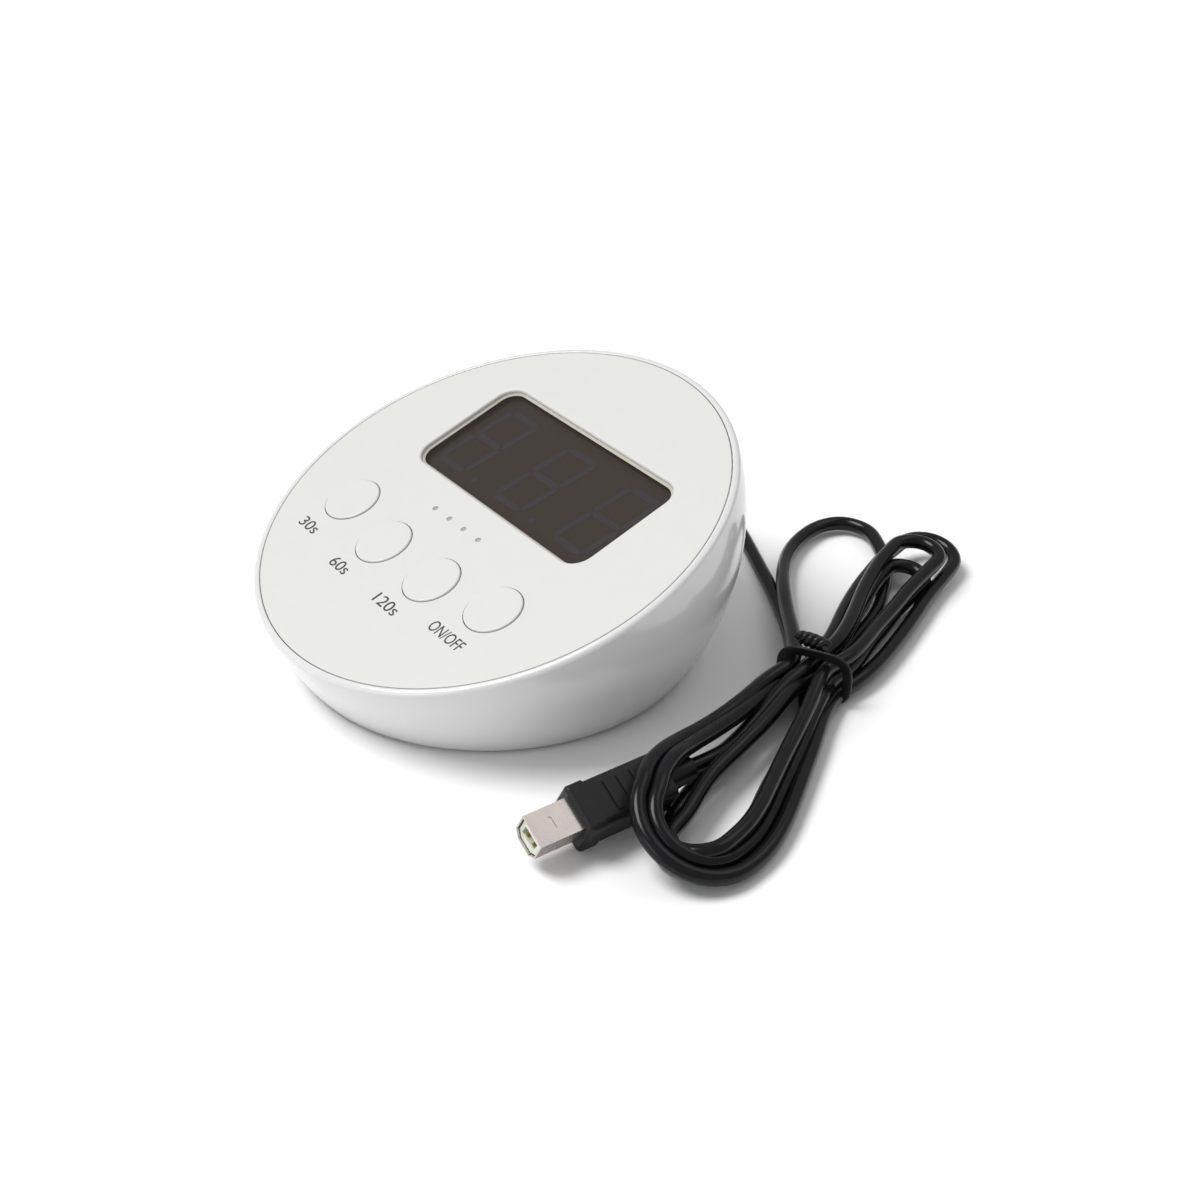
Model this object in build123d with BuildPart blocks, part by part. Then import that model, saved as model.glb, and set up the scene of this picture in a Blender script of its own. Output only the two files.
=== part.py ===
"""Table-top timer control unit of a UV curing lamp, with its tied cord and type-B plug.

The housing is a sphere cut flat underneath and cut on top by a plane that rises towards the back. +X is the
operator's right, +Y the back, +Z up. The origin is the middle of the housing's box on the table. Millimetres.
"""

import os
from math import cos, pi, radians, sin, sqrt, tan

from build123d import *

os.makedirs("parts", exist_ok=True)

# ---- Housing -------------------------------------------------------------------------------------
SPHERE_R = 65.0  # outside of the shell
SPHERE_Y = -1.8  # the sphere's centre, behind which the shell reaches as far as in front
SPHERE_Z = 39.0
WALL = 2.4
FACE_TILT = 19.1  # degrees, the face's rise towards the back
FACE_RISE = 0.9  # the face plane's distance above the sphere's centre
RIM_ROUND = 1.2
FOOT_DROP = 0.8  # the housing's underside stands this high on its feet
BASE_ROUND = 0.5

# ---- Face panel, measured in the face plane from above the sphere's centre -----------------------
PANEL_T = 2.2
PANEL_R = 62.95
PANEL_GAP = 0.2
PANEL_EDGE = 0.25
LEDGE_R = 60.5  # inside of the ledge that the panel sits on
LEDGE_T = 2.0
WINDOW_W, WINDOW_H = 74.9, 34.7  # the opening
WINDOW_X, WINDOW_Y = 0.1, 16.6
WINDOW_CORNER = 5.5
WINDOW_ROUND = 0.7
GLASS_DEPTH = 1.4  # top of the window below the face
GLASS_T = 1.5
GLASS_LAP = 1.5  # what the window reaches under the panel
GLASS_GAP = 0.15

# ---- Buttons -------------------------------------------------------------------------------------
BUTTONS_X = -1.7  # middle of the row
BUTTONS = {
    "30s": (BUTTONS_X - 34.2, -22.0),
    "60s": (BUTTONS_X - 11.7, -25.9),
    "120s": (BUTTONS_X + 11.7, -25.9),
    "on_off": (BUTTONS_X + 34.2, -22.0),
}
BUTTON_HOLE_R = 7.85
BUTTON_R = 7.6
BUTTON_PROUD = 0.45
BUTTON_ROUND = 0.4
FLANGE_R, FLANGE_T = 8.9, 0.8
FLANGE_GAP = 0.1
STEM_R = 2.0
TRAVEL = 0.5

# ---- Dots ----------------------------------------------------------------------------------------
DOTS_X, DOTS_Y, DOT_PITCH, DOT_COUNT = -2.4, -9.7, 6.8, 4
DOT_R = 0.8
PIPE_R = 1.2
PIPE_SIDE_GAP = 0.05
BAR_L, BAR_W, BAR_T = 24.0, 3.2, 0.8
PIPE_END = 12.9  # depth of the pipes' lower ends
DOT_SINK = 0.12

# ---- Display -------------------------------------------------------------------------------------
DIGIT_H, DIGIT_W, DIGIT_PITCH = 25.4, 13.6, 27.0
DIGIT_SLANT = 6.5  # degrees
SEGMENT_W = 2.0
SEGMENT_GAP = 0.55
POINT_R = 1.1
DISPLAY_DEPTH = 3.1  # the display's face below the panel's face
MODULE_W, MODULE_H = 82.0, 33.4
SEGMENT_T = 0.08
PIN_COUNT, PIN_PITCH, PIN_W, PIN_ROW = 6, 8.0, 0.6, 12.7
PIN_END = 17.4

# ---- Control board -------------------------------------------------------------------------------
BOARD_DEPTH = 14.0  # its upper side below the face
BOARD_T = 1.6
BOARD_X = 44.0
BOARD_LOW, BOARD_HIGH = -37.0, 43.5
BOARD_CORNER = 12.0
POST_R, POST_BORE_R = 3.0, 1.25
POSTS = [(BUTTONS_X - 22.9, -33.0), (BUTTONS_X + 22.9, -33.0), (-30.0, 39.5), (30.0, 39.5)]
BOARD_HOLE_R = 1.6
SCREW_R, SCREW_HEAD_R, SCREW_HEAD_H, SCREW_L = 1.2, 2.4, 1.6, 8.0
SWITCH_W, SWITCH_H = 6.0, 3.5
PLUNGER_R, PLUNGER_OUT, PLUNGER_IN = 1.75, 1.5, 0.3
PLUNGER_GAP = 0.1
BACK = BOARD_DEPTH + BOARD_T  # depth of the board's under side

# ---- Base ----------------------------------------------------------------------------------------
PLATE_R, PLATE_T, PLATE_GAP = 48.0, 2.0, 0.2
BASE_OPENING_R, BASE_LEDGE_T = 45.5, 2.0
BOSS_AT, BOSS_R, BOSS_TOP = 43.5, 4.0, 9.5
RIB_W, RIB_END, RIB_TOP = 1.8, 54.9, 8.4
BASE_SCREW_R, BASE_SCREW_HEAD_R, BASE_SCREW_CLEAR = 1.5, 2.8, 0.05
BASE_SCREW_TOP = 9.0
SCREW_HOLE_R, SCREW_SINK_R = BASE_SCREW_R + BASE_SCREW_CLEAR, BASE_SCREW_HEAD_R + BASE_SCREW_CLEAR
FOOT_AT, FOOT_R, FOOT_SUNK, FOOT_ROUND = 36.0, 5.0, 0.5, 0.3
CORNERS = [45.0, 135.0, 225.0, 315.0]
SIDES = [0.0, 90.0, 180.0, 270.0]

# ---- Cord ----------------------------------------------------------------------------------------
CORD_D = 4.0
CORD_R = CORD_D / 2
EXIT_X, EXIT_Z = -25.0, 8.0
EXIT_FACE_Y = 52.6  # flat boss on the rear wall
EXIT_BOSS_R, EXIT_BOSS_L = 6.6, 8.0
EXIT_HOLE_R = 3.6
FLANGE_POCKET_R, EXIT_POCKET_Y = 5.2, 48.8
RELIEF_END_Y = 64.5

# ---- Plug, type B --------------------------------------------------------------------------------
PLUG_X, PLUG_Z = 84.6, 8.2  # its axis, which runs along Y
PLUG_ROLL = 30.0  # degrees about its axis
MOUTH_Y = -48.6
SHELL_W, SHELL_H, SHELL_OUT, SHELL_WALL = 8.45, 7.78, 11.75, 0.4
SHELL_CHAMFER = 1.9
SHELL_IN = 4.0  # what the overmould hides of the shell
COLLAR_W, COLLAR_H, COLLAR_L = 12.8, 11.8, 4.6
MOULD_W, MOULD_H, MOULD_L = 12.0, 11.0, 25.0
MOULD_ROUND, COLLAR_ROUND = 1.6, 1.0
TAIL_L, TAIL_R, TAIL_ROOT_R = 9.0, 2.9, 3.9
DIMPLE_L, DIMPLE_W, DIMPLE_SINK, DIMPLE_Y = 3.4, 1.1, 0.2, 5.4
INSERT_GAP = 0.25
INSERT_IN = 0.6  # the insert's front behind the shell's mouth
INSERT_HOLE_W, INSERT_HOLE_H, INSERT_HOLE_L = 5.2, 3.0, 9.0
CONTACT_W, CONTACT_T, CONTACT_L = 0.9, 0.3, 8.0
GRIP_COUNT, GRIP_PITCH, GRIP_START, GRIP_L, GRIP_W, GRIP_H = 3, 3.7, 9.0, 7.6, 1.3, 0.4
TIE_T, TIE_W = 1.2, 2.6

# ---- Worked out from the above -------------------------------------------------------------------
TILT = radians(FACE_TILT)
SPHERE_C = (0, SPHERE_Y, SPHERE_Z)
FACE = Plane(
    origin=(0, SPHERE_Y - FACE_RISE * sin(TILT), SPHERE_Z + FACE_RISE * cos(TILT)),
    x_dir=(1, 0, 0),
    z_dir=(0, -sin(TILT), cos(TILT)),
)
FACE_AXIS = Axis(FACE.origin, FACE.z_dir)
PLATE_TOP = FOOT_DROP + PLATE_T
CAVITY_Z = PLATE_TOP + BASE_LEDGE_T
HOLE_THROUGH = 20.0  # longer than any wall that the cord's hole goes through
FLANGE_DEPTH = PANEL_T + FLANGE_GAP
SWITCH_TOP = BOARD_DEPTH - SWITCH_H
PLUNGER_TOP = SWITCH_TOP - PLUNGER_OUT
DOTS = [(DOTS_X + (i - (DOT_COUNT - 1) / 2) * DOT_PITCH, DOTS_Y) for i in range(DOT_COUNT)]
PLUG = Plane(
    origin=(PLUG_X, MOUTH_Y, PLUG_Z),
    x_dir=(cos(radians(PLUG_ROLL)), 0, -sin(radians(PLUG_ROLL))),
    z_dir=(0, -1, 0),
)

# The lead from the strain relief to the tie, and the free loop beside the hank.
LEAD_ROUTE = [
    (EXIT_X, RELIEF_END_Y, EXIT_Z),
    (EXIT_X, 75.2, EXIT_Z),
    (-19.0, 84.4, 4.4),
    (-8.6, 87.2, 2.3),
    (11.0, 78.5, 2.1),
    (33.0, 68.4, 2.1),
    (52.0, 57.4, 3.0),
    (66.0, 48.6, 5.5),
]
LOOP_ROUTE = [
    (65.5, 47.4, 10.4),
    (55.0, 54.4, 8.8),
    (44.0, 61.8, 7.2),
    (33.5, 69.4, 6.4),
    (23.4, 78.0, 4.6),
    (14.8, 88.4, 3.4),
    (10.5, 98.5, 3.0),
    (13.1, 108.2, 3.0),
    (21.0, 114.4, 3.0),
    (31.0, 114.5, 2.8),
    (39.1, 108.6, 2.4),
    (45.0, 100.5, 2.2),
]


def at_depth(depth):
    """The plane parallel to the face, this far below it."""
    return FACE.offset(-depth)


def disc(plane, centres, radius, length, mode=Mode.ADD):
    """Round bars of one length on a plane, into the part that is being made."""
    with BuildSketch(plane) as outline:
        with Locations(*centres):
            Circle(radius)
    extrude(outline.sketch, amount=length, mode=mode)


def block(plane, centres, size, length, mode=Mode.ADD, corner=0.0):
    """Rectangular bars of one length on a plane, into the part that is being made."""
    with BuildSketch(plane) as outline:
        with Locations(*centres):
            if corner:
                RectangleRounded(*size, corner)
            else:
                Rectangle(*size)
    extrude(outline.sketch, amount=length, mode=mode)


def save(part, name):
    part.label = name
    export_step(part, f"parts/{name}.step")


# ---- Housing shell -------------------------------------------------------------------------------
with BuildPart() as cavity:
    with Locations(SPHERE_C):
        Sphere(SPHERE_R - WALL)
    split(bisect_by=at_depth(PANEL_T + LEDGE_T), keep=Keep.BOTTOM)
    split(bisect_by=Plane.XY.offset(CAVITY_Z), keep=Keep.TOP)

EXIT = Plane(origin=(EXIT_X, EXIT_FACE_Y, EXIT_Z), x_dir=(-1, 0, 0), z_dir=(0, 1, 0))
PAD_SIZE, PAD_Y = (12.0, 4.0), 38.6
PAD_TOP = EXIT_Z - CORD_R
CLAMP_SCREWS = [(EXIT_X - 4.3, PAD_Y), (EXIT_X + 4.3, PAD_Y)]
CLAMP_SCREW_R = 0.9
BOSSES = [(BOSS_AT * cos(radians(a)), SPHERE_Y + BOSS_AT * sin(radians(a))) for a in CORNERS]

with BuildPart() as housing_shell:
    with Locations(SPHERE_C):
        Sphere(SPHERE_R)
    split(bisect_by=FACE, keep=Keep.BOTTOM)
    split(bisect_by=Plane.XY.offset(FOOT_DROP), keep=Keep.TOP)
    disc(FACE, [(0, 0)], PANEL_R + PANEL_GAP, -PANEL_T, Mode.SUBTRACT)
    disc(FACE, [(0, 0)], LEDGE_R, -(PANEL_T + LEDGE_T), Mode.SUBTRACT)
    rim = housing_shell.faces().sort_by(FACE_AXIS)[-1].edges().sort_by(SortBy.RADIUS)
    fillet(rim[-1], RIM_ROUND)
    fillet(rim[0], PANEL_EDGE)
    fillet(housing_shell.faces().sort_by(Axis.Z)[0].edges(), BASE_ROUND)
    disc(EXIT, [(0, 0)], EXIT_BOSS_R, -EXIT_BOSS_L)
    disc(EXIT, [(0, 0)], EXIT_BOSS_R, EXIT_BOSS_L, Mode.SUBTRACT)
    add(cavity.part, mode=Mode.SUBTRACT)
    disc(Plane.XY.offset(FOOT_DROP), [(0, SPHERE_Y)], PLATE_R + PLATE_GAP, PLATE_T, Mode.SUBTRACT)
    disc(Plane.XY.offset(FOOT_DROP), [(0, SPHERE_Y)], BASE_OPENING_R, CAVITY_Z, Mode.SUBTRACT)
    disc(Plane.XY.offset(PLATE_TOP), BOSSES, BOSS_R, BOSS_TOP - PLATE_TOP)
    with BuildSketch(Plane.XY.offset(CAVITY_Z)):
        with Locations((0, SPHERE_Y)):
            with PolarLocations((BOSS_AT + RIB_END) / 2, len(CORNERS), start_angle=CORNERS[0]):
                Rectangle(RIB_END - BOSS_AT, RIB_W)
    extrude(amount=RIB_TOP - CAVITY_Z)
    disc(Plane.XY.offset(PLATE_TOP), BOSSES, SCREW_HOLE_R, BASE_SCREW_TOP - PLATE_TOP, Mode.SUBTRACT)
    block(Plane.XY.offset(CAVITY_Z), [(EXIT_X, PAD_Y)], PAD_SIZE, PAD_TOP - CAVITY_Z)
    disc(Plane.XY.offset(PAD_TOP), CLAMP_SCREWS, CLAMP_SCREW_R, -BASE_LEDGE_T, Mode.SUBTRACT)
    disc(EXIT, [(0, 0)], EXIT_HOLE_R, -HOLE_THROUGH, Mode.SUBTRACT)
    disc(EXIT.offset(EXIT_POCKET_Y - EXIT_FACE_Y), [(0, 0)], FLANGE_POCKET_R, -EXIT_BOSS_L / 2, Mode.SUBTRACT)
save(housing_shell.part, "housing_shell")

# ---- Window and face panel -----------------------------------------------------------------------
WINDOW = (WINDOW_X, WINDOW_Y)
GLASS_SIZE = (WINDOW_W + 2 * GLASS_LAP, WINDOW_H + 2 * GLASS_LAP)
REBATE_SIZE = (GLASS_SIZE[0] + 2 * GLASS_GAP, GLASS_SIZE[1] + 2 * GLASS_GAP)
GLASS_CORNER = WINDOW_CORNER + GLASS_LAP

with BuildPart() as display_window:
    block(at_depth(GLASS_DEPTH), [WINDOW], GLASS_SIZE, -GLASS_T, corner=GLASS_CORNER)
save(display_window.part, "display_window")

with BuildPart() as face_panel:
    disc(FACE, [(0, 0)], PANEL_R, -PANEL_T)
    block(FACE, [WINDOW], (WINDOW_W, WINDOW_H), -PANEL_T, Mode.SUBTRACT, WINDOW_CORNER)
    opening = face_panel.faces().sort_by(FACE_AXIS)[-1].inner_wires()[0].edges()
    fillet(opening, WINDOW_ROUND)
    block(at_depth(GLASS_DEPTH), [WINDOW], REBATE_SIZE, -PANEL_T, Mode.SUBTRACT, GLASS_CORNER)
    fillet(face_panel.faces().sort_by(FACE_AXIS)[-1].outer_wire().edges(), PANEL_EDGE)
    disc(FACE, list(BUTTONS.values()), BUTTON_HOLE_R, -PANEL_T, Mode.SUBTRACT)
    disc(FACE, DOTS, DOT_R, -PANEL_T, Mode.SUBTRACT)
    disc(at_depth(PANEL_T), POSTS, POST_R, -(BOARD_DEPTH - PANEL_T))
    disc(at_depth(BOARD_DEPTH), POSTS, POST_BORE_R, SCREW_L, Mode.SUBTRACT)
save(face_panel.part, "face_panel")

# ---- Buttons and their switches ------------------------------------------------------------------
for name, place in BUTTONS.items():
    with BuildPart() as button:
        disc(FACE.offset(BUTTON_PROUD), [place], BUTTON_R, -(BUTTON_PROUD + FLANGE_DEPTH))
        fillet(button.faces().sort_by(FACE_AXIS)[-1].edges(), BUTTON_ROUND)
        disc(at_depth(FLANGE_DEPTH), [place], FLANGE_R, -FLANGE_T)
        disc(at_depth(FLANGE_DEPTH + FLANGE_T), [place], STEM_R, -(PLUNGER_TOP - FLANGE_DEPTH - FLANGE_T))
    save(button.part, f"button_{name}")
    with BuildPart() as plunger:
        disc(at_depth(PLUNGER_TOP), [place], PLUNGER_R, -(PLUNGER_OUT + PLUNGER_IN))
    save(plunger.part, f"plunger_{name}")

with BuildPart() as switch_bodies:
    block(at_depth(SWITCH_TOP), list(BUTTONS.values()), (SWITCH_W, SWITCH_W), -SWITCH_H)
    well = PLUNGER_IN + TRAVEL + PLUNGER_GAP
    disc(at_depth(SWITCH_TOP), list(BUTTONS.values()), PLUNGER_R + PLUNGER_GAP, -well, Mode.SUBTRACT)
save(switch_bodies.part, "switch_bodies")

# ---- Light guide and indicators ------------------------------------------------------------------
LED_SIZE, LED_H = (1.6, 1.2), 0.8
with BuildPart() as light_guide:
    disc(at_depth(DOT_SINK), DOTS, DOT_R - PIPE_SIDE_GAP, -(PANEL_T - DOT_SINK))
    block(at_depth(PANEL_T), [(DOTS_X, DOTS_Y)], (BAR_L, BAR_W), -BAR_T)
    disc(at_depth(PANEL_T + BAR_T), DOTS, PIPE_R, -(PIPE_END - PANEL_T - BAR_T))
save(light_guide.part, "light_guide")

with BuildPart() as indicator_leds:
    block(at_depth(BOARD_DEPTH), DOTS, LED_SIZE, LED_H)
save(indicator_leds.part, "indicator_leds")

# ---- Display -------------------------------------------------------------------------------------
with BuildPart() as display_module:
    block(at_depth(DISPLAY_DEPTH), [WINDOW], (MODULE_W, MODULE_H), -(BOARD_DEPTH - DISPLAY_DEPTH))
save(display_module.part, "display_module")


def bar(start, end):
    """A segment between two points of a digit's grid: a bar with pointed ends, as upright points."""
    along = (Vector(*end) - Vector(*start)).normalized()
    across = Vector(-along.Y, along.X) * (SEGMENT_W / 2)
    first = Vector(*start) + along * (SEGMENT_GAP / 2)
    last = Vector(*end) - along * (SEGMENT_GAP / 2)
    inner = along * (SEGMENT_W / 2)
    return [first, first + inner + across, last - inner + across, last, last - inner - across, first + inner - across]


GRID_X, GRID_Y = (DIGIT_W - SEGMENT_W) / 2, (DIGIT_H - SEGMENT_W) / 2
LEVELS = (-GRID_Y, 0, GRID_Y)
SEGMENTS = [bar((-GRID_X, y), (GRID_X, y)) for y in LEVELS]
SEGMENTS += [bar((x, low), (x, high)) for x in (-GRID_X, GRID_X) for low, high in zip(LEVELS, LEVELS[1:])]
POINT_AT = (10.0, 0.9 - DIGIT_H / 2)
LEAN = tan(radians(DIGIT_SLANT))

with BuildPart() as display_segments:
    with BuildSketch(at_depth(DISPLAY_DEPTH)):
        for digit in (-1, 0, 1):
            middle = Vector(WINDOW_X + digit * DIGIT_PITCH, WINDOW_Y)
            for outline in SEGMENTS:
                Polygon(*[middle + Vector(p.X + p.Y * LEAN, p.Y) for p in outline], align=None)
            with Locations(middle + Vector(*POINT_AT)):
                Circle(POINT_R)
    extrude(amount=SEGMENT_T)
save(display_segments.part, "display_segments")

PINS_X = [WINDOW_X + (i - (PIN_COUNT - 1) / 2) * PIN_PITCH for i in range(PIN_COUNT)]
PINS = [(x, WINDOW_Y + side * PIN_ROW) for x in PINS_X for side in (-1, 1)]
with BuildPart() as display_pins:
    block(at_depth(BOARD_DEPTH), PINS, (PIN_W, PIN_W), -(PIN_END - BOARD_DEPTH))
save(display_pins.part, "display_pins")

# ---- Control board and what is soldered on its back ----------------------------------------------
BOARD_MIDDLE = (0, (BOARD_LOW + BOARD_HIGH) / 2)
with BuildPart() as control_board:
    size = (2 * BOARD_X, BOARD_HIGH - BOARD_LOW)
    block(at_depth(BOARD_DEPTH), [BOARD_MIDDLE], size, -BOARD_T, corner=BOARD_CORNER)
    disc(at_depth(BOARD_DEPTH), POSTS, BOARD_HOLE_R, -BOARD_T, Mode.SUBTRACT)
    block(at_depth(BOARD_DEPTH), PINS, (PIN_W, PIN_W), -BOARD_T, Mode.SUBTRACT)
save(control_board.part, "control_board")

with BuildPart() as board_screws:
    disc(at_depth(BACK), POSTS, SCREW_HEAD_R, -SCREW_HEAD_H)
    disc(at_depth(BACK), POSTS, SCREW_R, SCREW_L)
save(board_screws.part, "board_screws")

CHIP_AT, CHIP_SIZE, CHIP_H, CHIP_LIFT = (6.0, 13.0), (12.8, 7.5), 2.3, 0.2
LEAD_COUNT, LEAD_PITCH, LEAD_SIZE, LEAD_H = 10, 1.27, (0.4, 10.3), 0.9
with BuildPart() as controller_chip:
    block(at_depth(BACK + CHIP_LIFT), [CHIP_AT], CHIP_SIZE, -CHIP_H)
    chip_leads = [(CHIP_AT[0] + (i - (LEAD_COUNT - 1) / 2) * LEAD_PITCH, CHIP_AT[1]) for i in range(LEAD_COUNT)]
    block(at_depth(BACK), chip_leads, LEAD_SIZE, -LEAD_H)
save(controller_chip.part, "controller_chip")

CRYSTAL_AT, CRYSTAL_SIZE, CRYSTAL_H, CRYSTAL_CORNER = (6.0, 22.5), (10.8, 4.5), 3.4, 2.0
with BuildPart() as crystal:
    block(at_depth(BACK), [CRYSTAL_AT], CRYSTAL_SIZE, -CRYSTAL_H, corner=CRYSTAL_CORNER)
save(crystal.part, "crystal")

BUZZER_AT, BUZZER_R, BUZZER_H, BUZZER_HOLE_R = (28.0, 14.0), 6.0, 8.5, 1.0
with BuildPart() as buzzer:
    disc(at_depth(BACK), [BUZZER_AT], BUZZER_R, -BUZZER_H)
    disc(at_depth(BACK + BUZZER_H / 2), [BUZZER_AT], BUZZER_HOLE_R, -BUZZER_H, Mode.SUBTRACT)
save(buzzer.part, "buzzer")

REGULATOR_AT, REGULATOR_SIZE, REGULATOR_H, TAB_SIZE, TAB_H = (-14.0, 14.0), (6.5, 6.1), 2.3, (5.2, 9.6), 0.5
with BuildPart() as regulator:
    block(at_depth(BACK), [REGULATOR_AT], TAB_SIZE, -TAB_H)
    block(at_depth(BACK + TAB_H), [REGULATOR_AT], REGULATOR_SIZE, -(REGULATOR_H - TAB_H))
save(regulator.part, "regulator")

CAPACITORS, CAPACITOR_R, CAPACITOR_H = [(-27.0, 6.0), (-27.0, 13.5)], 2.5, 7.0
with BuildPart() as capacitors:
    disc(at_depth(BACK), CAPACITORS, CAPACITOR_R, -CAPACITOR_H)
save(capacitors.part, "capacitors")

RESISTOR_ROWS, RESISTOR_COLUMNS, RESISTOR_PITCH, RESISTOR_SIZE, RESISTOR_H = 2, 6, 4.0, (2.0, 1.25), 0.5
RESISTORS_AT = (0, -10.0)
with BuildPart() as resistors:
    with BuildSketch(at_depth(BACK)):
        with Locations(RESISTORS_AT):
            with GridLocations(RESISTOR_PITCH, RESISTOR_PITCH, RESISTOR_COLUMNS, RESISTOR_ROWS):
                Rectangle(*RESISTOR_SIZE)
    extrude(amount=-RESISTOR_H)
save(resistors.part, "resistors")

SOCKET_AT, SOCKET_SIZE, SOCKET_H = (-16.0, 34.0), (11.0, 5.8), 4.0
PLUG_BLOCK_SIZE, PLUG_BLOCK_H = (9.8, 4.6), 5.0
with BuildPart() as cord_connector:
    block(at_depth(BACK), [SOCKET_AT], SOCKET_SIZE, -SOCKET_H)
save(cord_connector.part, "cord_connector")

with BuildPart() as connector_plug:
    block(at_depth(BACK + SOCKET_H), [SOCKET_AT], PLUG_BLOCK_SIZE, -PLUG_BLOCK_H)
save(connector_plug.part, "connector_plug")

# ---- Base ----------------------------------------------------------------------------------------
FEET = [(FOOT_AT * cos(radians(a)), SPHERE_Y + FOOT_AT * sin(radians(a))) for a in SIDES]
with BuildPart() as base_plate:
    disc(Plane.XY.offset(FOOT_DROP), [(0, SPHERE_Y)], PLATE_R, PLATE_T)
    for x, y in BOSSES:
        with Locations(Plane(origin=(x, y, FOOT_DROP), x_dir=(1, 0, 0), z_dir=(0, 0, -1))):
            CounterSinkHole(SCREW_HOLE_R, SCREW_SINK_R, counter_sink_angle=90)
    disc(Plane.XY.offset(FOOT_DROP), FEET, FOOT_R, FOOT_SUNK, Mode.SUBTRACT)
save(base_plate.part, "base_plate")

HEAD_H = BASE_SCREW_HEAD_R - BASE_SCREW_R
with BuildPart() as base_screws:
    for boss in BOSSES:
        with Locations((*boss, FOOT_DROP + HEAD_H / 2)):
            Cone(BASE_SCREW_HEAD_R, BASE_SCREW_R, HEAD_H)
    disc(Plane.XY.offset(FOOT_DROP + HEAD_H), BOSSES, BASE_SCREW_R, BASE_SCREW_TOP - FOOT_DROP - HEAD_H)
save(base_screws.part, "base_screws")

with BuildPart() as rubber_feet:
    disc(Plane.XY, FEET, FOOT_R, FOOT_DROP + FOOT_SUNK)
    fillet(rubber_feet.faces().group_by(Axis.Z)[0].edges(), FOOT_ROUND)
save(rubber_feet.part, "rubber_feet")

# ---- Where the cord leaves the housing -----------------------------------------------------------
RELIEF_START_Y, INNER_FLANGE_R, NECK_R = 47.4, 4.8, 3.5
COLLAR_END_Y, COLLAR_R, TAPER_R, RELIEF_TIP_R = 54.6, 5.0, 4.1, 2.7
JACKET_END_Y = 35.6
with BuildPart() as strain_relief:
    with BuildSketch(Plane(origin=(EXIT_X, 0, EXIT_Z))):
        with BuildLine():
            Polyline(
                (0, RELIEF_START_Y), (INNER_FLANGE_R, RELIEF_START_Y), (INNER_FLANGE_R, EXIT_POCKET_Y),
                (NECK_R, EXIT_POCKET_Y), (NECK_R, EXIT_FACE_Y), (COLLAR_R, EXIT_FACE_Y), (COLLAR_R, COLLAR_END_Y),
                (TAPER_R, COLLAR_END_Y), (RELIEF_TIP_R, RELIEF_END_Y), (0, RELIEF_END_Y), close=True,
            )
        make_face()
    revolve(axis=Axis((EXIT_X, 0, EXIT_Z), (0, 1, 0)))
save(strain_relief.part, "strain_relief")

with BuildPart() as jacket_end:
    disc(EXIT.offset(RELIEF_START_Y - EXIT_FACE_Y), [(0, 0)], CORD_R, JACKET_END_Y - RELIEF_START_Y)
save(jacket_end.part, "jacket_end")

CLAMP_TOP, CLAMP_GAP = 12.0, 0.05
with BuildPart() as cord_clamp:
    block(Plane.XY.offset(PAD_TOP), [(EXIT_X, PAD_Y)], PAD_SIZE, CLAMP_TOP - PAD_TOP)
    with BuildSketch(EXIT):
        Circle(CORD_R + CLAMP_GAP)
        with Locations((0, -CORD_R)):
            Rectangle(2 * (CORD_R + CLAMP_GAP), 2 * CORD_R)
    extrude(amount=-HOLE_THROUGH, mode=Mode.SUBTRACT)
    disc(Plane.XY.offset(PAD_TOP), CLAMP_SCREWS, CLAMP_SCREW_R + CLAMP_GAP, CLAMP_TOP, Mode.SUBTRACT)
save(cord_clamp.part, "cord_clamp")

CLAMP_HEAD_R, CLAMP_HEAD_H = 1.7, 1.2
with BuildPart() as clamp_screws:
    disc(Plane.XY.offset(CLAMP_TOP), CLAMP_SCREWS, CLAMP_HEAD_R, CLAMP_HEAD_H)
    disc(Plane.XY.offset(CLAMP_TOP), CLAMP_SCREWS, CLAMP_SCREW_R, PAD_TOP - BASE_LEDGE_T - CLAMP_TOP)
save(clamp_screws.part, "clamp_screws")


# ---- Cord ----------------------------------------------------------------------------------------
def tube(name, route, radius):
    """A round tube along straight runs joined by tangent arcs, each as large as its two runs allow."""
    runs = [Vector(*b) - Vector(*a) for a, b in zip(route, route[1:])]
    bends = []
    for first, second in zip(runs, runs[1:]):
        turn = radians(first.get_angle(second))
        bends.append(0.45 * min(first.length, second.length) / tan(turn / 2))
    with BuildPart() as cord:
        with BuildLine() as path:
            FilletPolyline(*route, radius=bends)
        with BuildSketch(Plane(origin=path.line @ 0, z_dir=path.line % 0)):
            Circle(radius)
        sweep()
    length = path.wire().length
    ratio = cord.part.volume / (pi * radius**2 * length)
    print(name, "length", round(length, 1), "radii", [round(r, 1) for r in bends], "volume", round(ratio, 3))
    return cord.part


WIRE_R, WIRE_SPREAD, WIRE_PITCH = 0.6, 0.75, 2.0
WIRE_END = BACK + SOCKET_H + PLUG_BLOCK_H
WIRE_RISE, WIRE_TURN, WIRE_STAGGER = 8.0, 3.5, 1.0
WIRE_MIDDLE = 1.5  # of wires 0 to 3
wires = []
for i, (side, level) in enumerate([(-1, 1), (-1, -1), (1, -1), (1, 1)]):
    x, z = EXIT_X + side * WIRE_SPREAD, EXIT_Z + level * WIRE_SPREAD
    across = SOCKET_AT[0] + (i - WIRE_MIDDLE) * WIRE_PITCH
    end = at_depth(WIRE_END).from_local_coords((across, SOCKET_AT[1], 0))
    above = at_depth(WIRE_END + WIRE_RISE).from_local_coords((across, SOCKET_AT[1], 0))
    turn_y = JACKET_END_Y - WIRE_TURN + level * WIRE_STAGGER
    wires.append(tube(f"wire {i}", [(x, JACKET_END_Y, z), (x, turn_y, z), tuple(above), tuple(end)], WIRE_R))
inner_leads = Compound(children=wires)
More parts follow.
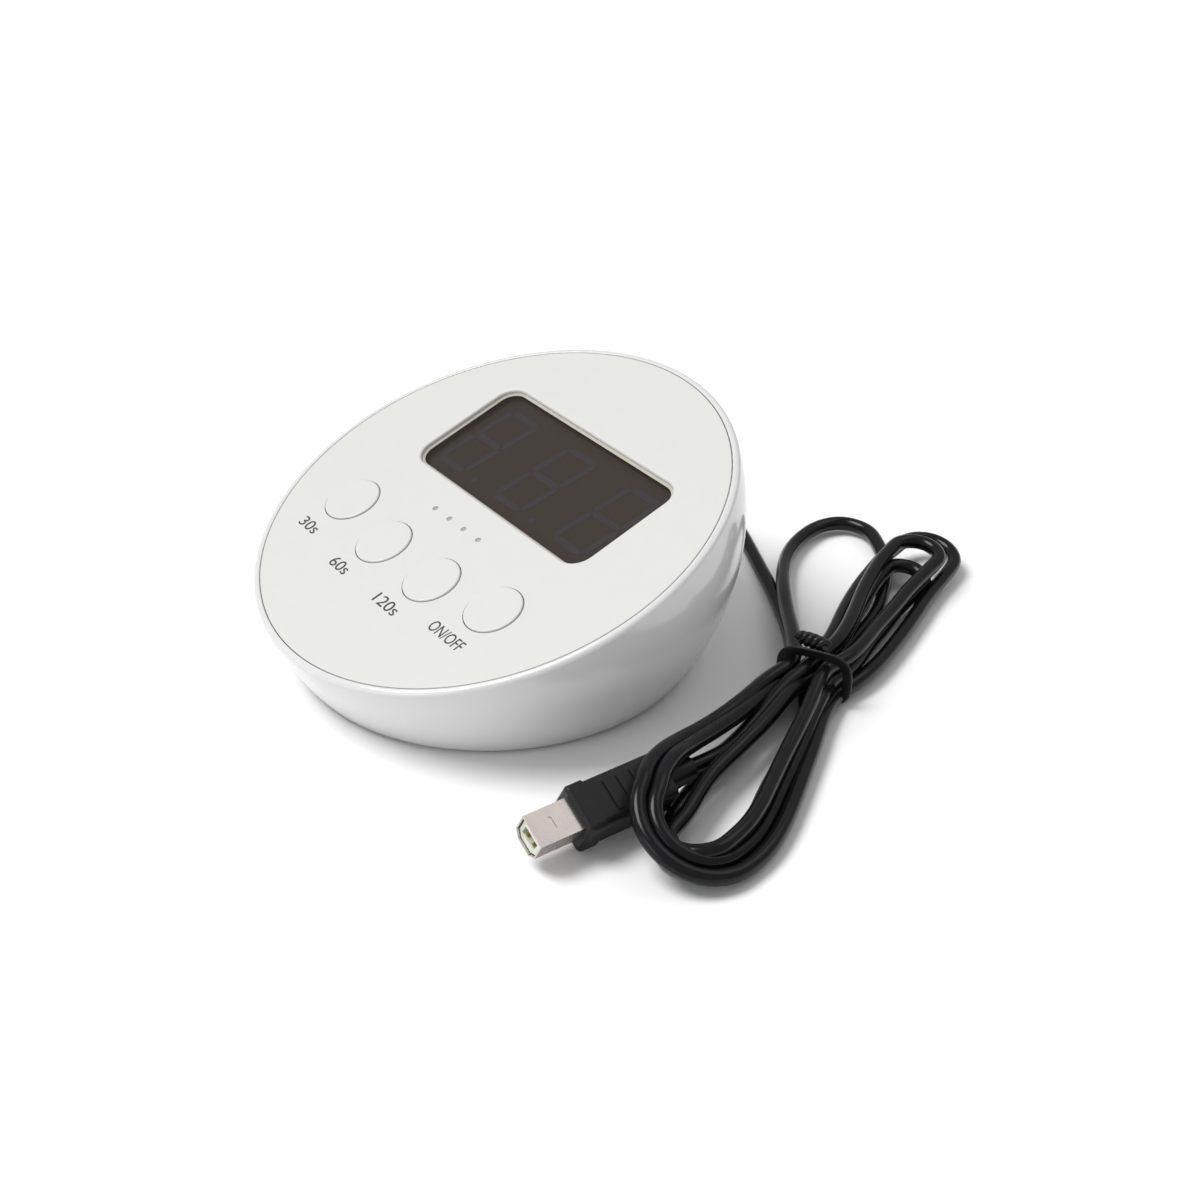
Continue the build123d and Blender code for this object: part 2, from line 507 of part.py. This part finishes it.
save(inner_leads, "inner_leads")

cord_lead = tube("cord_lead", LEAD_ROUTE, CORD_R)
save(cord_lead, "cord_lead")
cord_loop = tube("cord_loop", LOOP_ROUTE, CORD_R)
save(cord_loop, "cord_loop")


# ---- Plug ----------------------------------------------------------------------------------------
def plug_outline(inset):
    """The type-B section: square above, both lower corners cut off, drawn on the plug's own plane."""
    w, h, c = SHELL_W / 2 - inset, SHELL_H / 2 - inset, SHELL_CHAMFER - inset * (2 - sqrt(2))
    return [(-w, h), (w, h), (w, c - h), (w - c, -h), (c - w, -h), (-w, c - h)]


def plug_bar(start, length, inset, mode=Mode.ADD):
    with BuildSketch(PLUG.offset(-start)) as outline:
        Polygon(*plug_outline(inset), align=None)
    extrude(outline.sketch, amount=-length, mode=mode)


with BuildPart() as plug_shell:
    plug_bar(0, SHELL_OUT + SHELL_IN, 0)
    plug_bar(0, SHELL_OUT + SHELL_IN, SHELL_WALL, Mode.SUBTRACT)
    dimple = Plane(origin=PLUG.from_local_coords((0, SHELL_H / 2, -DIMPLE_Y)), x_dir=PLUG.x_dir, z_dir=PLUG.y_dir)
    with BuildSketch(dimple):
        SlotOverall(DIMPLE_L, DIMPLE_W)
    extrude(amount=-DIMPLE_SINK, mode=Mode.SUBTRACT)
save(plug_shell.part, "plug_shell")

with BuildPart() as plug_insert:
    plug_bar(INSERT_IN, SHELL_OUT + SHELL_IN - INSERT_IN, SHELL_WALL + INSERT_GAP)
    block(PLUG, [(0, 0)], (INSERT_HOLE_W, INSERT_HOLE_H), -INSERT_HOLE_L, Mode.SUBTRACT)
save(plug_insert.part, "plug_insert")

CONTACT_Y = INSERT_HOLE_H / 2 - CONTACT_T / 2
CONTACTS = [(x * INSERT_HOLE_W / 4, y * CONTACT_Y) for x in (-1, 1) for y in (-1, 1)]
with BuildPart() as plug_contacts:
    block(PLUG.offset(-(INSERT_HOLE_L - CONTACT_L)), CONTACTS, (CONTACT_W, CONTACT_T), -CONTACT_L)
save(plug_contacts.part, "plug_contacts")

with BuildPart() as plug_overmould:
    block(PLUG.offset(-SHELL_OUT), [(0, 0)], (MOULD_W, MOULD_H), -MOULD_L, corner=MOULD_ROUND)
    block(PLUG.offset(-SHELL_OUT), [(0, 0)], (COLLAR_W, COLLAR_H), -COLLAR_L, corner=MOULD_ROUND)
    fillet(plug_overmould.faces().sort_by(Axis.Y)[0].edges(), COLLAR_ROUND)
    grips = [(0, s * MOULD_H / 2) for s in (-1, 1)]
    for i in range(GRIP_COUNT):
        block(PLUG.offset(-(SHELL_OUT + GRIP_START + i * GRIP_PITCH)), grips, (GRIP_L, 2 * GRIP_H), -GRIP_W)
    with BuildSketch(PLUG.offset(-(SHELL_OUT + MOULD_L))):
        Circle(TAIL_ROOT_R)
    with BuildSketch(PLUG.offset(-(SHELL_OUT + MOULD_L + TAIL_L))):
        Circle(TAIL_R)
    loft()
    plug_bar(SHELL_OUT, SHELL_IN, 0, Mode.SUBTRACT)
save(plug_overmould.part, "plug_overmould")

# ---- Tie and hank --------------------------------------------------------------------------------
WAIST = Plane(origin=(71.5, 47.0, 6.8), x_dir=(0.88, 0.48, 0), z_dir=(0.48, -0.88, 0))
TIE_SIZE, TIE_CORNER, TIE_INNER_CORNER = (18.4, 13.4), 4.0, 3.0
with BuildPart() as twist_tie:
    block(WAIST.offset(-TIE_W / 2), [(0, 0)], TIE_SIZE, TIE_W, corner=TIE_CORNER)
    inside = [side - 2 * TIE_T for side in TIE_SIZE]
    block(WAIST.offset(-TIE_W / 2), [(0, 0)], inside, TIE_W, Mode.SUBTRACT, TIE_INNER_CORNER)
save(twist_tie.part, "twist_tie")

UPPER_LOBE = [
    (63.5, 44.0), (57.5, 60.0), (47.0, 76.0), (40.0, 90.0), (34.5, 105.0), (31.2, 119.0), (34.6, 126.0),
    (41.0, 123.0), (47.0, 117.0), (55.0, 105.5), (64.0, 90.5), (71.0, 77.0), (77.0, 63.0), (80.0, 48.0),
]
LOWER_LOBE = [
    (63.5, 48.0), (68.0, 30.0), (73.0, 14.0), (77.0, 0.0), (82.0, -12.0), (90.0, -21.5), (100.0, -28.0),
    (110.0, -27.5), (117.0, -20.0), (118.5, -11.0), (114.0, -1.0), (106.0, 10.5), (97.0, 23.0), (88.0, 36.0),
    (80.0, 50.0),
]
UPPER_TOP, LOBE_H = 8.5, 25.0
LOWER_TOP = [Vector(72.0, 44.0, 12.5), Vector(88.0, -20.0, 20.0), Vector(117.0, -8.0, 7.0)]  # strands over the plug


def lobe(points, height):
    with BuildSketch(Plane.XY) as outline:
        with BuildLine():
            Spline(*points)
            Line(points[-1], points[0])
        make_face()
    extrude(outline.sketch, amount=height)


with BuildPart() as cord_hank:
    lobe(LOWER_LOBE, LOBE_H)
    slope = (LOWER_TOP[2] - LOWER_TOP[0]).cross(LOWER_TOP[1] - LOWER_TOP[0])
    upward = slope if slope.Z > 0 else -slope
    split(bisect_by=Plane(origin=LOWER_TOP[0], z_dir=upward), keep=Keep.BOTTOM)
    lobe(UPPER_LOBE, UPPER_TOP)
    add(plug_overmould.part, mode=Mode.SUBTRACT)
    add(twist_tie.part, mode=Mode.SUBTRACT)
    add([cord_lead, cord_loop], mode=Mode.SUBTRACT)
save(cord_hank.part, "cord_hank")

shown = housing_shell.part.bounding_box()
print("housing box", shown.min, shown.max)
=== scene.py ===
from math import cos, pi, radians, sin

import bpy
from mathutils import Matrix, Vector


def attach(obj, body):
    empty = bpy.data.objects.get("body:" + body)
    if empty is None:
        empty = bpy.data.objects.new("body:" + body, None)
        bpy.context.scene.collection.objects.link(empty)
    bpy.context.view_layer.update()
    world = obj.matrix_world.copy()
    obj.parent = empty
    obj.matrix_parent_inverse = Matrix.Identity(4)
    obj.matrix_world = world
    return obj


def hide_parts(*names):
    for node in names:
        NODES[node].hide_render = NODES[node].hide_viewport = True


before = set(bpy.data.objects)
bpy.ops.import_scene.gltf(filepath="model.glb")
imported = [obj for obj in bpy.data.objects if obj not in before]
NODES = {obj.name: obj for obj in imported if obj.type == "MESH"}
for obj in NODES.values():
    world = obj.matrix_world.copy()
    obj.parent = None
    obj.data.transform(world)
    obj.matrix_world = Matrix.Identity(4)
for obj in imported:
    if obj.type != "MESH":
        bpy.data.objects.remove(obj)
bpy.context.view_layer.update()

BODY = "case"

# ---- Camera ----------------------------------------------------------------------------------------------------
CAMERA_AT = Vector((0.3645, -0.23035, 0.27465))
CAMERA_TARGET = Vector((0.02841, 0.01172, 0.02097))
LENS = 57.29
camera = bpy.data.objects.new("camera", bpy.data.cameras.new("camera"))
camera.data.lens = LENS
camera.data.sensor_width = 36.0
camera.data.clip_start = 0.01
camera.location = CAMERA_AT
camera.rotation_euler = (CAMERA_TARGET - CAMERA_AT).to_track_quat("-Z", "Y").to_euler()
bpy.context.collection.objects.link(camera)
bpy.context.scene.camera = camera


# ---- Materials -------------------------------------------------------------------------------------------------
MOTTLE = 12  # how much coarser the colour's mottle is than the grain
SMEAR_SCALE, SMEAR_H = 60.0, 0.00001


def material(name, colour, rough, vary=0.02, grain=900.0, bump=0.02, relief=0.00002, **sockets):
    """Moulded or painted stuff: a colour with a slow mottle, and a fine grain in its roughness and height."""
    made = bpy.data.materials.new(name)
    made.use_nodes = True
    tree = made.node_tree
    shader = tree.nodes["Principled BSDF"]
    where = tree.nodes.new("ShaderNodeTexCoord")
    slow = tree.nodes.new("ShaderNodeTexNoise")
    slow.inputs["Scale"].default_value = grain / MOTTLE
    slow.inputs["Detail"].default_value = 3.0
    fine = tree.nodes.new("ShaderNodeTexNoise")
    fine.inputs["Scale"].default_value = grain
    fine.inputs["Detail"].default_value = 4.0
    for noise in (slow, fine):
        tree.links.new(where.outputs["Object"], noise.inputs["Vector"])
    ramp = tree.nodes.new("ShaderNodeValToRGB")
    ramp.color_ramp.elements[0].color = (*[c * (1 - vary) for c in colour], 1)
    ramp.color_ramp.elements[1].color = (*[min(1.0, c * (1 + vary)) for c in colour], 1)
    ramp.color_ramp.elements[0].position = 0.35
    ramp.color_ramp.elements[1].position = 0.65
    tree.links.new(slow.outputs["Fac"], ramp.inputs["Fac"])
    tree.links.new(ramp.outputs["Color"], shader.inputs["Base Color"])
    spread = tree.nodes.new("ShaderNodeMapRange")
    spread.inputs["To Min"].default_value = rough * 0.85
    spread.inputs["To Max"].default_value = min(1.0, rough * 1.15)
    tree.links.new(fine.outputs["Fac"], spread.inputs["Value"])
    tree.links.new(spread.outputs["Result"], shader.inputs["Roughness"])
    height = tree.nodes.new("ShaderNodeBump")
    height.inputs["Strength"].default_value = bump
    height.inputs["Distance"].default_value = relief
    tree.links.new(fine.outputs["Fac"], height.inputs["Height"])
    tree.links.new(height.outputs["Normal"], shader.inputs["Normal"])
    for socket, value in sockets.items():
        shader.inputs[socket.replace("_", " ")].default_value = value
    return made


def glass(name, colour, rough, alpha):
    """A smoked or clear window: a lone shader with a plain alpha, dull only by a faint smear."""
    made = bpy.data.materials.new(name)
    made.use_nodes = True
    shader = made.node_tree.nodes["Principled BSDF"]
    shader.inputs["Base Color"].default_value = (*colour, 1)
    shader.inputs["Roughness"].default_value = rough
    shader.inputs["Alpha"].default_value = alpha
    shader.inputs["IOR"].default_value = 1.49
    smear = made.node_tree.nodes.new("ShaderNodeTexNoise")
    smear.inputs["Scale"].default_value = SMEAR_SCALE
    height = made.node_tree.nodes.new("ShaderNodeBump")
    height.inputs["Strength"].default_value = 0.002
    height.inputs["Distance"].default_value = SMEAR_H
    made.node_tree.links.new(smear.outputs["Fac"], height.inputs["Height"])
    made.node_tree.links.new(height.outputs["Normal"], shader.inputs["Normal"])
    return made


GLOSS_WHITE = material("gloss_white", (0.680, 0.672, 0.672), 0.16, vary=0.006, bump=0.01, Coat_Weight=0.35,
                       Coat_Roughness=0.06)
SATIN_WHITE = material("satin_white", (0.630, 0.630, 0.608), 0.42, vary=0.006, grain=2500.0, bump=0.06)
BUTTON_WHITE = material("button_white", (0.640, 0.640, 0.620), 0.36, vary=0.006, grain=2500.0, bump=0.05)
CORD_BLACK = material("cord_black", (0.006, 0.006, 0.007), 0.2, vary=0.15, grain=3000.0, bump=0.02, relief=0.00001,
                      Specular_IOR_Level=0.22)
MOULD_BLACK = material("mould_black", (0.007, 0.007, 0.008), 0.42, vary=0.12, grain=4000.0, bump=0.08,
                       Specular_IOR_Level=0.3)
TIE_BLACK = material("tie_black", (0.006, 0.006, 0.007), 0.34, vary=0.2, grain=1500.0, bump=0.10, relief=0.00005,
                     Specular_IOR_Level=0.35)
NICKEL = material("nickel", (0.62, 0.565, 0.54), 0.28, vary=0.03, grain=3000.0, bump=0.03, Metallic=1.0)
STEEL = material("steel", (0.55, 0.55, 0.56), 0.32, vary=0.05, grain=1200.0, bump=0.08, Metallic=1.0)
GOLD = material("gold", (0.83, 0.62, 0.26), 0.25, vary=0.04, grain=1200.0, bump=0.04, Metallic=1.0)
INSERT_PALE = material("insert_pale", (0.66, 0.71, 0.62), 0.45, vary=0.02, grain=1500.0, bump=0.06)
BOARD_GREEN = material("board_green", (0.02, 0.12, 0.05), 0.35, vary=0.15, grain=600.0, bump=0.08)
PART_BLACK = material("part_black", (0.018, 0.018, 0.019), 0.5, vary=0.1, grain=1800.0, bump=0.1)
PART_TAN = material("part_tan", (0.42, 0.34, 0.24), 0.5, vary=0.1, grain=1800.0, bump=0.1)
PART_WHITE = material("part_white", (0.74, 0.73, 0.68), 0.42, vary=0.02, grain=1500.0, bump=0.06)
BASE_WHITE = material("base_white", (0.72, 0.72, 0.71), 0.5, vary=0.015, grain=1800.0, bump=0.15)
FOOT_RUBBER = material("foot_rubber", (0.03, 0.03, 0.032), 0.75, vary=0.1, grain=1500.0, bump=0.2)
WIRE_RED = material("wire_red", (0.25, 0.05, 0.04), 0.4, vary=0.1, grain=900.0, bump=0.06)
DISPLAY_DARK = material("display_dark", (0.170, 0.143, 0.126), 0.6, vary=0.02, grain=5000.0, bump=0.0)
SEGMENT_GREY = material("segment_grey", (0.195, 0.205, 0.285), 0.6, vary=0.02, grain=5000.0, bump=0.0)
DOT_CLEAR = material("dot_clear", (0.36, 0.36, 0.34), 0.3, vary=0.03, grain=1500.0, bump=0.03)
LED_WHITE = material("led_white", (0.7, 0.7, 0.62), 0.35, vary=0.03, grain=1500.0, bump=0.03)
INK = material("ink", (0.030, 0.030, 0.034), 0.55, vary=0.1, grain=2500.0, bump=0.05)
SMOKED = glass("smoked", (0.035, 0.026, 0.020), 0.06, 0.45)

FINISHES = {
    "housing_shell": GLOSS_WHITE, "face_panel": SATIN_WHITE, "display_window": SMOKED,
    "display_module": DISPLAY_DARK, "display_segments": SEGMENT_GREY, "display_pins": STEEL,
    "light_guide": DOT_CLEAR, "indicator_leds": LED_WHITE, "switch_bodies": STEEL, "crystal": STEEL,
    "control_board": BOARD_GREEN, "board_screws": STEEL, "clamp_screws": STEEL, "base_screws": STEEL,
    "controller_chip": PART_BLACK, "buzzer": PART_BLACK, "regulator": PART_BLACK, "capacitors": PART_BLACK,
    "resistors": PART_TAN, "cord_connector": PART_WHITE, "connector_plug": PART_WHITE, "inner_leads": WIRE_RED,
    "jacket_end": CORD_BLACK, "cord_clamp": BASE_WHITE, "base_plate": BASE_WHITE, "rubber_feet": FOOT_RUBBER,
    "strain_relief": MOULD_BLACK, "plug_overmould": MOULD_BLACK, "plug_shell": NICKEL, "plug_insert": INSERT_PALE,
    "plug_contacts": GOLD,
}
for name in ("30s", "60s", "120s", "on_off"):
    FINISHES[f"button_{name}"] = BUTTON_WHITE
    FINISHES[f"plunger_{name}"] = PART_BLACK
for name, finish in FINISHES.items():
    node = NODES[name]
    node.data.materials.clear()
    node.data.materials.append(finish)


# ---- Cord ------------------------------------------------------------------------------------------------------
CORD_D, CORD_L = 0.004, 1.55
EXIT = (-0.025, 0.0645, 0.008)
PLUG_TAIL = (0.0846, -0.00285, 0.0082)

LEAD = [
    EXIT, (-0.025, 0.0752, 0.008), (-0.019, 0.0844, 0.0044), (-0.0086, 0.0872, 0.0023), (0.011, 0.0785, 0.0021),
    (0.033, 0.0684, 0.0021), (0.052, 0.0574, 0.0026),
]
LOOP = [
    (0.0445, 0.0965, 0.0022), (0.0393, 0.1022, 0.0024), (0.033, 0.1073, 0.0028), (0.0265, 0.1112, 0.003),
    (0.0185, 0.1148, 0.003), (0.0105, 0.1118, 0.003), (0.0082, 0.1040, 0.003), (0.0112, 0.0940, 0.0032),
    (0.0160, 0.0860, 0.0036), (0.0234, 0.078, 0.0046),
    (0.0335, 0.0694, 0.0064), (0.044, 0.0618, 0.0072), (0.055, 0.0544, 0.0088),
]

# The tie holds every strand at the waist, each at its own place: along the tie and above the floor.
WAIST = Vector((0.0715, 0.047, 0))
WAIST_ACROSS = Vector((0.88, 0.48, 0))


def waist(across, height):
    return tuple(WAIST + WAIST_ACROSS * across + Vector((0, 0, height)))


def arc(middle, radius, start, end, count):
    """Points along the round end of a lobe, from one angle to another."""
    angles = [radians(start + (end - start) * i / (count - 1)) for i in range(count)]
    return [(middle[0] + radius * cos(angle), middle[1] + radius * sin(angle)) for angle in angles]


# The outer turn of each lobe. Down the left side, round the end over the plug, up the right side.
LOWER_OUTLINE = [
    (0.068, 0.035), (0.0735, 0.021), (0.077, 0.008), (0.080, -0.003), (0.0835, -0.011), (0.087, -0.017),
    *arc((0.103, -0.015), 0.0138, 205, 380, 8),
    (0.1135, -0.0025), (0.109, 0.0055), (0.103, 0.014), (0.097, 0.022), (0.0895, 0.032), (0.083, 0.040),
]
# Up the right side, round the tip, down the left side.
UPPER_OUTLINE = [
    (0.076, 0.0585), (0.073, 0.068), (0.068, 0.079), (0.062, 0.091), (0.056, 0.102),
    *arc((0.0415, 0.1148), 0.0084, 15, 215, 7),
    (0.0365, 0.103), (0.0405, 0.094), (0.0450, 0.085), (0.051, 0.0755), (0.0575, 0.0665), (0.0625, 0.058),
]


def spread(values, share):
    """The value at a share of the way along a list, in between its entries."""
    place = share * (len(values) - 1)
    first = min(int(place), len(values) - 2)
    return values[first] + (values[first + 1] - values[first]) * (place - first)


def lobe(outline, long, insets, heights):
    """One turn of a lobe: the outer turn drawn towards the waist, set inwards, at its own heights."""
    spots = [WAIST + (Vector((x, y, 0)) - WAIST) * long for x, y in outline]
    points = []
    for step, spot in enumerate(spots):
        ahead = spots[min(step + 1, len(spots) - 1)] - spots[max(step - 1, 0)]
        inward = Vector((-ahead.y, ahead.x, 0)).normalized()
        share = step / (len(spots) - 1)
        spot = spot + inward * spread(insets, share)
        points.append((spot.x, spot.y, spread(heights, share)))
    return points


# How much shorter each turn is, how far it is set in from start to end, and its heights from start to end.
LOWER_TURNS = [
    (1.0, [0.0020, 0.0050, 0.0060, 0.0050, 0.0050, 0.0072, 0.0074, 0.0040],
     [0.0034, 0.0024, 0.0022, 0.0022, 0.0022, 0.0022, 0.0024, 0.0030]),
    (1.0, [0.0, 0.0], [0.0098, 0.0112, 0.0160, 0.0165, 0.0105, 0.0050, 0.0030, 0.0030, 0.0034, 0.0040]),
    (1.0, [0.0014, 0.0036, 0.0038, 0.0038, 0.0038, 0.0038, 0.0020],
     [0.0080, 0.0116, 0.0160, 0.0152, 0.0104, 0.0066, 0.0046, 0.0032, 0.0038, 0.0054]),
    (1.0, [0.0064, 0.0094, 0.0108, 0.0078, 0.0052, 0.0050, 0.0056, 0.0054, 0.0030],
     [0.0086, 0.0084, 0.0080, 0.0070, 0.0064, 0.0076, 0.0080, 0.0074, 0.0072, 0.0086]),
]
UPPER_TURNS = [
    (1.0, [0.0, 0.0], [0.0040, 0.0036, 0.0040, 0.0062, 0.0062, 0.0054, 0.0060]),
    (0.80, [0.0014, 0.0034, 0.0026, 0.0008, 0.0004, 0.0008, 0.0026, 0.0036, 0.0020],
     [0.0060, 0.0040, 0.0040, 0.0058, 0.0068, 0.0064, 0.0064]),
    (0.89, [0.0024, 0.0036, 0.0022, 0.0004, 0.0, 0.0004, 0.0022, 0.0040, 0.0036],
     [0.0098, 0.0080, 0.0086, 0.0098, 0.0102, 0.0096, 0.0100]),
]
DOWN = [(-0.006, 0.0034), (-0.005, 0.0100), (-0.004, 0.0068), (0.0, 0.0068), (-0.0014, 0.0102)]
UP = [(-0.002, 0.0034), (0.006, 0.0034), (0.004, 0.0068), (0.0024, 0.0102)]
UNDER_HANK = [(0.0655, 0.0575, 0.0024), (0.0600, 0.0700, 0.0021), (0.0530, 0.0860, 0.0021)]
TO_PLUG = [(0.0724, 0.0355, 0.0090), (0.0765, 0.0240, 0.0062), (0.0805, 0.0140, 0.0058), (0.0842, 0.0055, 0.0074),
           PLUG_TAIL]

route = list(LEAD)
for number, turn in enumerate(LOWER_TURNS):
    route.append(waist(*DOWN[number]))
    route += lobe(LOWER_OUTLINE, *turn)
    route.append(waist(*UP[number]))
    if number == 0:
        route += UNDER_HANK + LOOP
    else:
        route += lobe(UPPER_OUTLINE, *UPPER_TURNS[number - 1])
route.append(waist(*DOWN[-1]))
route += TO_PLUG


def spline_object(name, points, radius, finish, cyclic=False, order=3):
    curve = bpy.data.curves.new(name, "CURVE")
    curve.dimensions = "3D"
    spline = curve.splines.new("NURBS")
    spline.points.add(len(points) - 1)
    for spot, place in zip(spline.points, points):
        spot.co = (*place, 1)
    spline.order_u = order
    spline.use_endpoint_u = not cyclic
    spline.use_cyclic_u = cyclic
    spline.resolution_u = 8
    curve.bevel_depth = radius
    curve.bevel_resolution = 6
    curve.use_fill_caps = True
    made = bpy.data.objects.new(name, curve)
    bpy.context.collection.objects.link(made)
    curve.materials.append(finish)
    return made


cord = spline_object("cord", route, CORD_D / 2, CORD_BLACK)
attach(cord, BODY)
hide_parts("cord_lead", "cord_loop", "cord_hank")

# ---- Twist tie ---------------------------------------------------------------------------------------------------
TIE_W, TIE_H, TIE_MIDDLE = 0.0176, 0.0126, 0.0076
RIM = 24
BAND_ROUND, BAND_HALF_W = 0.0004, 0.0009
band_points = []
for i in range(RIM):
    c, s = cos(2 * pi * i / RIM), sin(2 * pi * i / RIM)
    squarish = (abs(c) ** 4 + abs(s) ** 4) ** -0.25
    band_points.append(waist(c * squarish * TIE_W / 2, TIE_MIDDLE + s * squarish * TIE_H / 2))
tie = spline_object("tie_band", band_points, BAND_ROUND, TIE_BLACK, cyclic=True, order=4)
tie.data.extrude = BAND_HALF_W
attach(tie, BODY)
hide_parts("twist_tie")

KNOT_FROM, KNOT_TO = Vector((0.0640, 0.0480, 0.0150)), Vector((0.0724, 0.0500, 0.0156))
KNOT_R, KNOT_WIRE_R, KNOT_TURNS, KNOT_STEPS = 0.0010, 0.0009, 2.5, 21
KNOT_SIDE = (KNOT_TO - KNOT_FROM).normalized().cross(Vector((0, 0, 1))).normalized()
KNOT_UP = KNOT_SIDE.cross((KNOT_TO - KNOT_FROM).normalized())
for strand, phase in enumerate((0, pi)):
    points = []
    for i in range(KNOT_STEPS):
        share = i / (KNOT_STEPS - 1)
        angle = phase + 2 * pi * KNOT_TURNS * share
        swell = KNOT_R * (0.75 + 0.5 * sin(pi * share))
        spot = KNOT_FROM.lerp(KNOT_TO, share) + (KNOT_SIDE * cos(angle) + KNOT_UP * sin(angle)) * swell
        points.append(tuple(spot))
    knot = spline_object(f"tie_knot_{strand}", points, KNOT_WIRE_R, TIE_BLACK)
    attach(knot, BODY)

# ---- Labels on the face ------------------------------------------------------------------------------------------
FACE_TILT = radians(19.1)
FACE_AT = Vector((0, -0.002094, 0.03985))
FACE = Matrix.Translation(FACE_AT) @ Matrix.Rotation(FACE_TILT, 4, "X")
LABELS = {
    "30s": (-0.0374, -0.0353, 0.0078), "60s": (-0.0158, -0.0385, 0.0076), "120s": (0.0071, -0.0385, 0.0098),
    "ON/OFF": (0.0302, -0.0349, 0.0135),
}
CAP_H, CAP_SHARE = 0.0033, 0.70  # a capital's height, and its share of the font's size
INK_T = 0.00003
for text, (x, y, width) in LABELS.items():
    letters = bpy.data.curves.new("label", "FONT")
    letters.body = text
    letters.align_x = "CENTER"
    letters.align_y = "CENTER"
    letters.size = CAP_H / CAP_SHARE
    letters.extrude = INK_T
    label = bpy.data.objects.new("label_" + text.lower().replace("/", "_"), letters)
    bpy.context.collection.objects.link(label)
    bpy.context.view_layer.update()
    label.matrix_world = FACE @ Matrix.Translation((x, y, INK_T)) @ Matrix.Diagonal(
        (width / label.dimensions.x, 1, 1, 1)
    )
    letters.materials.append(INK)
    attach(label, BODY)

# ---- Painted shade at the window's edge: a beige frame for the shaded white wall of the opening, seen through the clear lens along its far sides ---
WINDOW_AT, WINDOW_SIZE, WINDOW_CORNER = (0.0001, 0.0166), (0.0748, 0.0346), 0.0054
EDGE_W, EDGE_T, EDGE_DEPTH = 0.0007, 0.0003, 0.0014
CORNER_STEPS = 8


def rounded(inset, height):
    """The window's outline, drawn this far inside its opening, on the face."""
    corner = WINDOW_CORNER - inset
    half_w, half_h = WINDOW_SIZE[0] / 2 - inset - corner, WINDOW_SIZE[1] / 2 - inset - corner
    ring = []
    for quarter, (sx, sy) in enumerate(((1, 1), (-1, 1), (-1, -1), (1, -1))):
        for i in range(CORNER_STEPS + 1):
            angle = pi / 2 * (quarter + i / CORNER_STEPS)
            x, y = sx * half_w + corner * cos(angle), sy * half_h + corner * sin(angle)
            ring.append(FACE @ Vector((WINDOW_AT[0] + x, WINDOW_AT[1] + y, height)))
    return ring


rings = [rounded(0.0, -EDGE_DEPTH), rounded(0.0, EDGE_T - EDGE_DEPTH), rounded(EDGE_W * 0.4, EDGE_T - EDGE_DEPTH),
         rounded(EDGE_W, -EDGE_DEPTH)]
count = len(rings[0])
faces = []
for level in range(len(rings)):
    nearer, further = level * count, (level + 1) % len(rings) * count
    faces += [(nearer + i, nearer + (i + 1) % count, further + (i + 1) % count, further + i) for i in range(count)]
edge_mesh = bpy.data.meshes.new("window_edge_painted_shade")
edge_mesh.from_pydata([spot for ring in rings for spot in ring], [], faces)
edge_mesh.update()
# Painted shade: this beige colour is the white wall of the opening in shade, seen through the clear lens. It is not
# a colour the part has.
edge_mesh.materials.append(material("edge_painted_wall_shade", (0.50, 0.47, 0.41), 0.4, vary=0.02, grain=3000.0, bump=0.02))
window_edge_painted_shade = bpy.data.objects.new("window_edge_painted_shade", edge_mesh)
bpy.context.collection.objects.link(window_edge_painted_shade)
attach(window_edge_painted_shade, BODY)

# ---- Floor and light ---------------------------------------------------------------------------------------------
bpy.ops.mesh.primitive_plane_add(size=4.0, location=(0, 0, 0))
floor = bpy.context.object
floor.name = "floor"
floor.data.materials.append(material("floor_white", (0.93, 0.93, 0.93), 0.9, vary=0.0, bump=0.0))


def area_light(name, place, size, power, colour=(1, 1, 1)):
    lamp = bpy.data.lights.new(name, "AREA")
    lamp.shape = "DISK"
    lamp.size = size
    lamp.energy = power
    lamp.color = colour
    made = bpy.data.objects.new(name, lamp)
    made.location = place
    made.rotation_euler = (-Vector(place)).to_track_quat("-Z", "Y").to_euler()
    bpy.context.collection.objects.link(made)


sun = bpy.data.lights.new("key", "SUN")
sun.angle = radians(32)
sun.energy = 2.45
key = bpy.data.objects.new("key", sun)
key.rotation_euler = Vector((-0.38, -0.42, 1.0)).to_track_quat("Z", "Y").to_euler()
bpy.context.collection.objects.link(key)
area_light("back", (0.12, 0.75, 1.05), 0.8, 1.6, (1.0, 0.99, 0.98))
area_light("front", (0.05, -0.9, 0.30), 0.5, 1.2, (0.94, 0.97, 1.0))
world = bpy.data.worlds.new("studio")
world.use_nodes = True
world.node_tree.nodes["Background"].inputs["Color"].default_value = (1, 1, 1, 1)
world.node_tree.nodes["Background"].inputs["Strength"].default_value = 0.42
bpy.context.scene.world = world
bpy.context.scene.view_settings.view_transform = "Standard"
